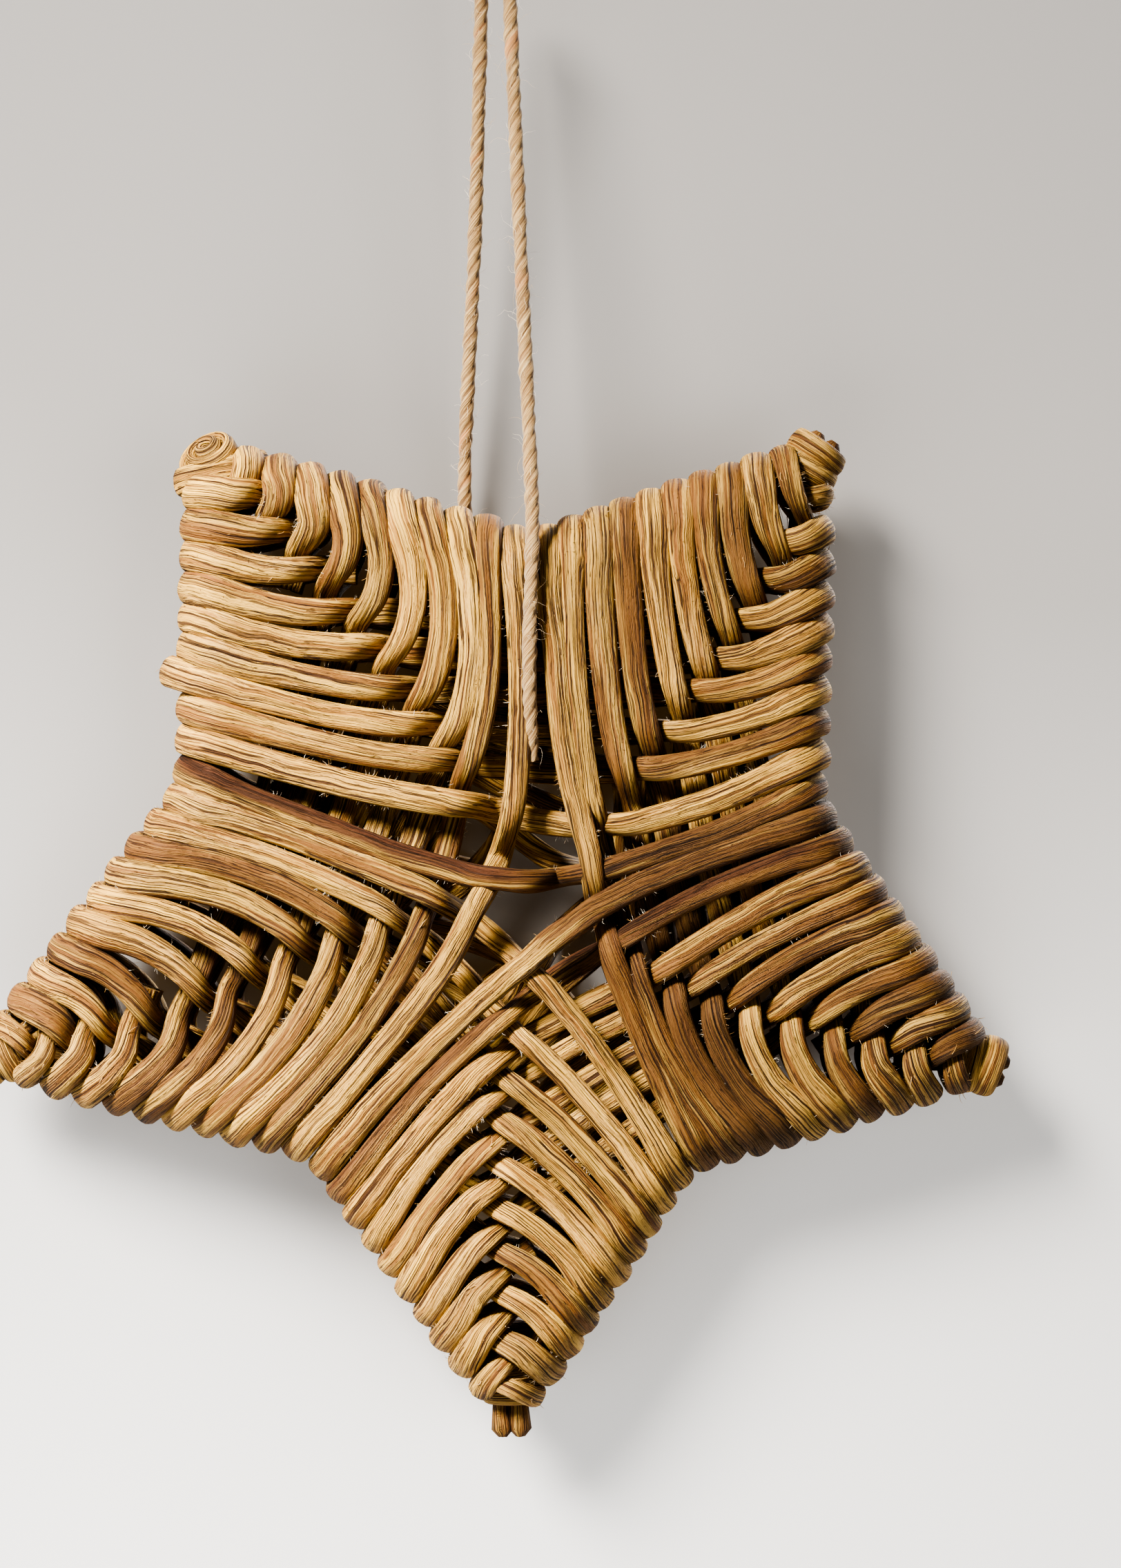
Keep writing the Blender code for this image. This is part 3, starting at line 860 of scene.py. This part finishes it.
# %% The short turns near the tips
FIRST_ROUND_SLIM = 0.78
for arm in ARM_TIPS:
    lines, replaced = [], []
    for family, ends in FAMILIES.items():
        for end, (its_arm, notch, _) in enumerate(ends):
            for n in range(1, FIRST_FULL_ROUND) if its_arm == arm else ():
                points, numbers = turn_line(family, end, n)
                slim = FIRST_ROUND_SLIM if n == 1 and arm != "upper_left" else 1.0
                seed = 100 + 10 * list(ARM_TIPS).index(arm) + len(lines)
                lines.append(strip_line(points, numbers, seed, slim))
                replaced.append(f"turn_{arm}_by_{notch}_{n}")
    cane_lines += lines
    wind(f"{arm}_turns", lines, replaced)

# %% [markdown]
# ## Frame and bindings
#
# Two round canes come out side by side at every tip. They belong to the frame, which runs
# along the edges inside the star. A thinner cane is wrapped twice round them to hold them
# together. At the blunt upper left tip its end is rolled up into a knob instead.

# %% Frame canes
FRAME_RADIUS, FRAME_INSET, FRAME_SPACING = 1.5, 6.72, 3.4
TIP_STRAIGHT, TIP_SWELL, SWELL_REACH, DARK_REACH = 15.0, 0.55, 7, 4
TIP_CUT = {"upper_left": 5.0}  # how much shorter the canes end; elsewhere 1.0
TIP_DARK = {"bottom": 0.12}  # how dark their ends are; elsewhere 1.0
ARMS_AT_NOTCH = {
    "top": ("upper_left", "upper_right"),
    "left": ("upper_left", "lower_left"),
    "bottom_left": ("lower_left", "bottom"),
    "bottom_right": ("bottom", "lower_right"),
    "right": ("lower_right", "upper_right"),
}


def plain_line(place, face=None, width=1.0, tone=0.5, stain=0.0):
    """Points in millimetres and where the flat side faces, as a line to sweep along."""
    place = np.array(place, float)
    face = [(0, -1, 0)] * len(place) if face is None else face
    along = distances(place)
    every = np.ones(len(place))
    return dict(
        place=to_world(place), face=np.array(face, float), along=along + 500.0 * tone,
        width=every * width, tone=every * tone, stain=every * stain,
    )


def frame_line(notch, arm_a, arm_b):
    """A frame cane: out of one tip, along its edge, round the notch and out at the next tip."""
    points = []
    for arm in (arm_a, arm_b):
        ends = [NOTCH[e[1]] for f in FAMILIES.values() for e in f if e[0] == arm]
        axis = unit(TIP[arm] - (ends[0] + ends[1]) / 2)
        across = np.array([-axis[1], axis[0]])
        across = across if across @ (NOTCH[notch] - TIP[arm]) > 0 else -across
        tip = TIP[arm] + across * FRAME_SPACING / 2
        points.append([tip, tip - axis * TIP_STRAIGHT])
    inner = NOTCH[notch] - unit(NOTCH[notch]) * FRAME_INSET
    corners = points[0] + [inner] + points[1][::-1]
    total = sum(np.linalg.norm(b - a) for a, b in zip(corners, corners[1:]))
    cut_a, cut_b = TIP_CUT.get(arm_a, 1.0), TIP_CUT.get(arm_b, 1.0)
    stations = np.linspace(cut_a, total - cut_b, round(total / 1.5))
    from_a, from_b = stations - cut_a + 1.0, total - cut_b - stations + 1.0
    from_tip = np.minimum(from_a, from_b)
    place = [(p[0], 0, p[1]) for p in (along_curve(corners, s) for s in stations)]
    rounded = np.sqrt(np.clip((from_tip - 0.75) / 1.6, 0, 1))  # the very end is rounded off
    width = (1 + TIP_SWELL * np.exp(-((from_tip / SWELL_REACH) ** 2))) * rounded
    dark = TIP_DARK.get(arm_a, 1.0) * np.exp(-((from_a / DARK_REACH) ** 2))
    dark = dark + TIP_DARK.get(arm_b, 1.0) * np.exp(-((from_b / DARK_REACH) ** 2))
    return plain_line(place, None, width, total % 1, dark)


for notch, arms in ARMS_AT_NOTCH.items():
    sizes = {"Width": 2 * FRAME_RADIUS * MM, "Thickness": 2 * FRAME_RADIUS * MM, "Sides": 14}
    wind(f"{notch}_frame_cane", [frame_line(notch, *arms)], [f"frame_{notch}"], sizes)

# %% Bindings
BINDING_WIDTH, BINDING_THICKNESS = 5.4, 2.6
BINDING_FROM_TIP, WRAPS_APART = 4.9, 4.4
LOW_BINDINGS = {"bottom": 10.2}  # these sit farther from the tip
CLEAR_OF_FRAME = 1.5
BLUNT = {"upper_left": (4.8, 2.0)}  # the wrap of this tip lies level and a little aside,
BLUNT_AXIS, BLUNT_WIDER, BLUNT_DEEPER = (-0.12, 1.0), 3.0, 1.4  # and is larger
KNOB_PLACE, KNOB_TURNS, KNOB_START, KNOB_GROWTH = (3.4, -3.6, -3.4), 2.2, 0.7, 4.7
KNOB_OVAL, KNOB_HOLLOW = 1.15, 2.4


def wrap(arm, below, wider, start, drift):
    """A cane wound once round the two frame canes, this far below the end of a tip."""
    axis, middle = unit(TIP[arm]), TIP[arm]
    wide = FRAME_SPACING / 2 + FRAME_RADIUS + wider
    deep = FRAME_RADIUS + CLEAR_OF_FRAME + wider
    if arm in BLUNT:
        axis, middle = unit(np.array(BLUNT_AXIS)), middle + BLUNT[arm]
        wide, deep = wide + BLUNT_WIDER, deep + BLUNT_DEEPER
    across = np.array([-axis[1], axis[0]])
    place, face = [], []
    for a in np.radians(np.arange(start, 361, 8)):
        p = middle - axis * (below + drift * math.cos(a)) + across * wide * math.cos(a)
        away = across * math.cos(a)
        place.append((p[0], deep * math.sin(a), p[1]))
        face.append((away[0], math.sin(a), away[1]))
    return plain_line(place, face, tone=float(np.sum(TIP[arm]) + below) % 1)


def knob(arm):
    """The end of the cane, rolled up on the front of a blunt tip."""
    x, z = TIP[arm]
    out = unit(np.array([*unit(TIP[arm]), 0])[[0, 2, 1]] + np.array([0, -0.75, 0]))
    first = unit(np.cross(out, (0, 0, 1)))
    second = np.cross(out, first)
    middle = np.array([x, 0, z]) + KNOB_PLACE
    place, face = [], []
    for t in np.linspace(0, 1, 50):
        a, radius = 2 * math.pi * KNOB_TURNS * t, KNOB_START + KNOB_GROWTH * t
        away = first * KNOB_OVAL * math.cos(a) + second * math.sin(a)
        place.append(middle + away * radius - out * KNOB_HOLLOW * t**2)
        face.append(away)
    return plain_line(place, face, 0.85, tone=0.8)


for arm in ARM_TIPS:
    sizes = {"Width": BINDING_WIDTH * MM, "Thickness": BINDING_THICKNESS * MM}
    below = LOW_BINDINGS.get(arm, BINDING_FROM_TIP)
    lines = [wrap(arm, below + WRAPS_APART, wider=2.0, start=0, drift=0.9)]
    lines.append(knob(arm) if arm in BLUNT else wrap(arm, below, wider=1.5, start=56, drift=0.0))
    wind(f"{arm}_binding", lines, [f"binding_{arm}"], sizes)

# %% [markdown]
# ## The twine
#
# The loop is one length of jute twine. It leaves the hollow of the star, passes over the
# notch, up to the point it hangs from, down behind and back into the star.

# %% The twine's route
TWINE_DIAMETER = 2.7
TWINE_ROUTE = [
    (4.6, -11.6, 25.0),
    (4.4, -12.9, 32.0),
    (4.2, -14.4, 41.0),
    (4.3, -15.0, 52.0),
    (4.6, -14.8, 62.0),
    (4.6, -12.4, 76.0),
    (2.6, -6.6, 120.0),
    (0.5, -1.2, 168.0),
    (0.3, -0.2, 175.6),
    (-2.4, 0.0, 178.75),
    (-5.1, 0.2, 175.6),
    (-5.3, 1.2, 168.0),
    (-6.6, 6.6, 126.0),
    (-8.6, 11.6, 84.0),
    (-8.0, 14.6, 68.0),
    (-4.8, 15.2, 56.0),
    (0.0, 16.6, 45.0),
    (3.4, 15.4, 33.0),
    (4.2, 13.4, 25.0),
]


def smooth_route(points, spacing):
    """Points at even spacing on a smooth curve through a list of points."""
    pts = [np.array(p, float) for p in points]
    pts = [2 * pts[0] - pts[1]] + pts + [2 * pts[-1] - pts[-2]]
    dense = []
    for a, b, c, d in zip(pts, pts[1:], pts[2:], pts[3:]):
        for t in np.arange(20) / 20:
            dense.append(
                b + 0.5 * t * (c - a)
                + t * t * (a - 2.5 * b + 2 * c - 0.5 * d)
                + t * t * t * (1.5 * (b - c) + 0.5 * (d - a))
            )
    dense.append(pts[-2])
    dense = np.array(dense)
    at = distances(dense)
    steps = np.linspace(0, at[-1], round(at[-1] / spacing) + 1)
    return np.stack([np.interp(steps, at, dense[:, k]) for k in range(3)], axis=1), at[-1]


twine_points, twine_length = smooth_route(TWINE_ROUTE, 0.7)
print("the twine loop measures", round(float(twine_length)), "mm")

# %% [markdown]
# The twine is three plies of jute laid round each other. The sweep turns its section as
# it goes, so that the hollows between the plies run round the twine, and the grain
# attribute turns with them. The fibres that stand off are short lines of their own.

# %% The twine
TWINE_LAY = 10.5  # one turn of a ply
PLY_DEPTH = 0.30
TWINE_SIDES, TWINE_UNEVEN = 30, 0.17


def plies_of(up, across):
    """1 on top of each of the three plies and 0 in the hollows between them."""
    return (up.math("ARCTAN2", across) * 1.5).math("COSINE").math("ABSOLUTE")


def twine_sweep_tree():
    sizes = {"Radius": 0.5 * TWINE_DIAMETER * MM, "Lay": TWINE_LAY, "Ply depth": PLY_DEPTH * MM}
    g, rail, (radius, lay, depth, finish) = sweep_tree("twine sweep", sizes)
    profile = circle(g, TWINE_SIDES, radius)
    profile = stored(g, profile, "section", g.get("GeometryNodeInputPosition"))
    swept, along = swept_along(g, rail, profile), named(g, "along")
    angle = along / lay * (2 * math.pi)
    cos, sin = angle.math("COSINE"), angle.math("SINE")
    up, across = section_place(g)
    up, across = up * cos + across * sin, across * cos - up * sin
    swept = stored(g, swept, "grain", g.xyz(up, across, along))
    fibres = g.fibres((up, across, along), 0.35, 5.0, rough=0.6)
    height = (plies_of(up, across) ** 0.7 - 0.8) * depth + (fibres - 0.5) * 0.25 * MM
    return end_tree(g, lifted(g, swept, height), finish)


def jute():
    material, g = new_material("jute")
    place = g.parts(attribute(g, "grain", 1))
    fibres = g.fibres(place, 0.20, 4.0, 3.0, 0.6)
    strands = g.fibres(place, 0.5, 9.0, 2.0, 0.5)
    flush = g.fibres(place, 3.0, 16.0, 1.0, 0.5)
    colour = g.painted(
        g.mix(fibres.fade(0.36, 0.62), (0.20, 0.108, 0.040, 1), (0.42, 0.285, 0.135, 1)),
        (strands.fade(0.55, 0.75) * 0.7, (0.62, 0.47, 0.26, 1)),
        (flush.fade(0.60, 0.72) * 0.5, (0.50, 0.20, 0.07, 1)),
        # painted shade: the hollows between the plies are painted dark
        (plies_of(*place[:2]).fade(0.45, 0.05) * 0.7, (0.12, 0.055, 0.024, 1)),
    )
    bump = {"Height": fibres * 0.7 + strands * 0.5, "Strength": 0.9, "Distance": 0.3 * MM}
    fixed = {"Specular IOR Level": 0.25, "Sheen Weight": 0.3}
    shade(g, colour, 0.85, g.get("ShaderNodeBump", inputs=bump), **fixed)
    return material


line = plain_line(twine_points, tone=0.0)
waves = slow_waves(line["along"], (31, 17, 9, 5, 3), np.random.default_rng(7))
line["width"] = 1 + TWINE_UNEVEN * waves
twine = grow("twine", [line], twine_sweep_tree(), {"Material": jute()})

# %% [markdown]
# ## Fibres that stand off
#
# Thin hairs are swept along short bent lines. On the twine they are long and curl; on
# the canes they are a pale fuzz along the sides of the strips, thickest where the strips
# wrap toward the edge.

# %% Hairs
TWINE_HAIRS = 420


def hair_sweep_tree():
    sizes = {"Radius": 0.03 * MM, "Sides": 3}
    g, rail, (radius, sides, finish) = sweep_tree("hair sweep", sizes)
    return end_tree(g, swept_along(g, rail, circle(g, sides, radius)), finish)


def hair(root, out, length, curl, rng, thick=1.0, joints=6, palest=1.0):
    """A bent hair that leaves its root in direction out and thins toward its end."""
    places, heading = [np.array(root, float)], unit(np.array(out, float))
    for _ in range(joints):
        places.append(places[-1] + heading * length / joints)
        heading = unit(heading + rng.normal(0, curl, 3))
    widths = thick * np.linspace(1, 0.35, len(places))
    tones = np.full(len(places), palest * rng.random())
    return dict(place=to_world(places), width=widths, tone=tones)


def hair_finish(name, low, high):
    """One colour where a hair's tone is low, another where it is high."""
    material, g = new_material(name)
    tone = attribute(g, "tone", 2)
    uneven = g.noise(g.get("ShaderNodeTexCoord", output=3), 400.0)
    colour = g.mix((tone + (uneven - 0.5) * 0.6).fade(0.2, 0.7), low, high)
    normal = g.get("ShaderNodeBump", inputs={"Height": uneven, "Distance": 0.05 * MM})
    shade(g, colour, 0.55, normal, **{"Specular IOR Level": 0.3})
    return material


def twine_hairs(count, rng):
    made = []
    for _ in range(count):
        i = rng.integers(3, len(twine_points) - 3)
        tangent = unit(twine_points[i + 1] - twine_points[i - 1])
        out = unit(np.cross(tangent, rng.normal(0, 1, 3)))
        root = twine_points[i] + out * 0.45 * TWINE_DIAMETER
        heading = out * rng.uniform(0.2, 1.0) + tangent * rng.choice((-1, 1)) * rng.uniform(0.5, 2)
        made.append(hair(root, heading, rng.uniform(1.2, 3) * rng.uniform(1, 2.4), 0.4, rng))
    return made


hair_sweep = hair_sweep_tree()
finish = hair_finish("twine hairs", (0.55, 0.38, 0.20, 1), (0.80, 0.70, 0.55, 1))
loose = twine_hairs(TWINE_HAIRS, np.random.default_rng(21))
hairs = grow("twine_hairs", loose, hair_sweep, {"Material": finish, "Radius": 0.026 * MM})
for piece in (twine, hairs):
    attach(piece, "root")
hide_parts("twine_loop")

# %% Fuzz on the canes
FUZZ_COUNT, SPLINTER_COUNT = 6500, 420


def lie_of(line):
    """Places in millimetres and the tangent, face and side directions along a strip."""
    place = np.array(line["place"]) / MM - [HANG_SHIFT, 0, -HANG_DROP]
    tangent = rows_to_unit(np.gradient(place, axis=0))
    return place, tangent, line["face"], np.cross(line["face"], tangent)


def fuzz(lines, count, rng):
    """Short bristles on the sides of the strips, in clusters."""
    made, lengths = [], np.array([len(line["place"]) for line in lines], float)
    lies = [lie_of(line) for line in lines]
    clusters = [slow_waves(line["along"], (47, 19, 11, 6), rng) for line in lines]
    while len(made) < count:
        k = rng.choice(len(lines), p=lengths / lengths.sum())
        i = rng.integers(4, len(lines[k]["place"]) - 4)
        if clusters[k][i] < 0.15 + 0.3 * rng.random():
            continue
        place, tangent, face, side = (rows[i] for rows in lies[k])
        hand = rng.choice((-1, 1))
        root = place + side * hand * 0.46 * CANE_WIDTH * lines[k]["width"][i]
        root = root + face * rng.uniform(-0.5, 0.7) + tangent * rng.uniform(-0.6, 0.6)
        heading = side * hand * rng.uniform(0.5, 1) + tangent * rng.normal(0, 0.5)
        heading = heading + face * rng.uniform(-0.5, 0.5)
        made.append(hair(root, heading, rng.uniform(0.4, 1.5), 0.2, rng, rng.uniform(0.7, 1.5), 2))
    return made


def splinters(lines, count, rng):
    """Slivers that lift from the face of a strip along its grain."""
    made = []
    for _ in range(count):
        line = lines[rng.integers(len(lines))]
        i = rng.integers(4, len(line["place"]) - 4)
        place, tangent, face, side = (rows[i] for rows in lie_of(line))
        share = rng.uniform(-0.42, 0.42)
        root = place + side * share * CANE_WIDTH + face * 0.5 * CANE_THICKNESS * (1 - 3 * share**2)
        heading = tangent * rng.choice((-1, 1)) + side * rng.normal(0, 0.25)
        heading = heading + face * rng.uniform(0.05, 0.5)
        thick = rng.uniform(1.2, 3.4)
        made.append(hair(root, heading, rng.uniform(0.8, 3.2), 0.18, rng, thick, 4, 0.3))
    return made


rng = np.random.default_rng(33)
loose = fuzz(cane_lines, FUZZ_COUNT, rng) + splinters(cane_lines, SPLINTER_COUNT, rng)
finish = hair_finish("cane fuzz", (0.46, 0.27, 0.10, 1), (0.66, 0.60, 0.50, 1))
piece = grow("cane_fuzz", loose, hair_sweep, {"Material": finish, "Radius": 0.035 * MM})
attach(piece, "root")

# %% [markdown]
# ## Wall and floor
#
# The star hangs against a pale wall that runs on into a floor far below. The wall's colour
# is painted paler toward the floor and a little darker to the right: painted light, for
# the light that falls off across the wall. Seen from behind, it lets the view through, so
# that the back of the star can be looked at too.

# %% Wall and floor
WALL_BEHIND = 19.0
FLOOR_BELOW = 1100.0
BACKDROP_REACH, WALL_HEIGHT, COVE = 2500.0, 1500.0, 400.0


def plaster():
    material, g = new_material("plaster")
    place = g.get("ShaderNodeTexCoord", output=3)
    x, _, z = g.parts(place)
    # painted light: the wall's colour is paler toward the floor and darker to the right, for how
    # the light falls on it
    painted_wall_light = z.fade(-0.06, -0.34) - x.fade(-0.12, 0.12) * 0.12
    bump = {"Height": g.noise(place, 900.0), "Distance": 0.02 * MM, "Strength": 0.2}
    parts = {
        "Base Color": g.mix(painted_wall_light, (0.184, 0.174, 0.162, 1), (0.390, 0.383, 0.372, 1)),
        "Roughness": 0.9,
        "Normal": g.get("ShaderNodeBump", inputs=bump),
    }
    front = g.get("ShaderNodeBsdfPrincipled", inputs=parts)
    behind = g.get("ShaderNodeNewGeometry", output=6)
    clear = g.get("ShaderNodeBsdfTransparent")
    surface = g.get("ShaderNodeMixShader", inputs={0: behind, 1: front, 2: clear})
    g.add("ShaderNodeOutputMaterial", inputs={"Surface": surface})
    return material


def cyclorama():
    """A wall that turns into a floor through a wide cove."""
    profile = [(WALL_BEHIND, WALL_HEIGHT)]
    for a in np.linspace(0, 0.5 * math.pi, 17):
        y, z = WALL_BEHIND - COVE * (1 - math.cos(a)), COVE * (1 - math.sin(a)) - FLOOR_BELOW
        profile.append((y, z))
    profile.append((-BACKDROP_REACH, -FLOOR_BELOW))
    sides = (-BACKDROP_REACH, BACKDROP_REACH)
    vertices = [(x * MM, y * MM, z * MM) for x in sides for y, z in profile]
    n = len(profile)
    faces = [(i, i + 1, n + i + 1, n + i) for i in range(n - 1)]
    mesh = bpy.data.meshes.new("backdrop")
    mesh.from_pydata(vertices, [], faces)
    mesh.materials.append(plaster())
    mesh.shade_smooth()
    mesh.update()
    print("the wall faces", [round(v, 2) for v in mesh.polygons[0].normal])
    return bpy.data.objects.new("backdrop", mesh)


backdrop = cyclorama()
bpy.context.scene.collection.objects.link(backdrop)

# %% [markdown]
# ## Light
#
# The key light stands high on the left. It is a soft spot, which fades toward the edge
# of its cone, and shines on the star alone. A second spot in the same place, softer and
# wider, lights the wall and throws the star's shadow down to the right. Two large lights
# wash over the wall, one fills the star's shadows, and one from behind passes through
# the wall and lights the star's back.

# %% Light
KEY_PLACE = (-0.80, -0.98, 0.66)


def lamp(name, kind, place, power, colour=(1, 1, 1), aim=(0.0, 0.0, VIEW_MIDDLE[1] * MM), **shape):
    """A light of this kind that faces a point; shape holds the settings of its size."""
    light = bpy.data.lights.new(name, kind)
    light.energy, light.color = power, colour
    for setting, value in shape.items():
        setattr(light, setting, value)
    made = bpy.data.objects.new(name, light)
    made.location = place
    made.rotation_euler = (Vector(aim) - made.location).to_track_quat("-Z", "Y").to_euler()
    bpy.context.scene.collection.objects.link(made)
    return made


def soft_spot(name, aim, power, colour, radius, cone):
    """A spot at the key's place."""
    shape = dict(shadow_soft_size=radius, spot_size=math.radians(cone), spot_blend=1.0)
    return lamp(name, "SPOT", KEY_PLACE, power, colour, aim, **shape)


def wall_group(name, link_state):
    """A collection with the wall in it, for lights that take only the wall or leave it out."""
    group = bpy.data.collections.new(name)
    group.objects.link(backdrop)
    group.collection_objects[0].light_linking.link_state = link_state
    return group


only_wall, all_but_wall = wall_group("wall", "INCLUDE"), wall_group("all but the wall", "EXCLUDE")
key = soft_spot("key", (-0.15, 0.0, -0.16), 710.0, (1.0, 0.96, 0.89), 0.24, 22.0)
key.light_linking.receiver_collection = all_but_wall
wall_lights = [
    soft_spot("wall key", (-0.10, 0.0, -0.30), 540.0, (1.0, 0.965, 0.925), 0.40, 40.0),
    lamp("side wash", "AREA", (0.9, -1.0, -0.3), 20.0, size=1.0),
    lamp("low wash", "AREA", (-0.30, -0.50, -0.80), 10.0, size=0.8),
]
for made in wall_lights:
    made.light_linking.receiver_collection = only_wall
lamp("fill", "AREA", (-0.9, -1.1, -0.9), 8.0, (0.98, 0.985, 1.0), size=1.0)
back = lamp("back", "AREA", (0.7, 1.1, 0.5), 32.0, size=0.9)
back.light_linking.blocker_collection = all_but_wall
world = bpy.data.worlds.new("room")
world.use_nodes = True
sky = world.node_tree.nodes["Background"].inputs
sky["Color"].default_value = (0.97, 0.98, 1.0, 1)
sky["Strength"].default_value = 0.16
bpy.context.scene.world = world
bpy.context.scene.view_settings.look = "AgX - High Contrast"
print("lights:", ", ".join(light.name for light in bpy.data.lights))
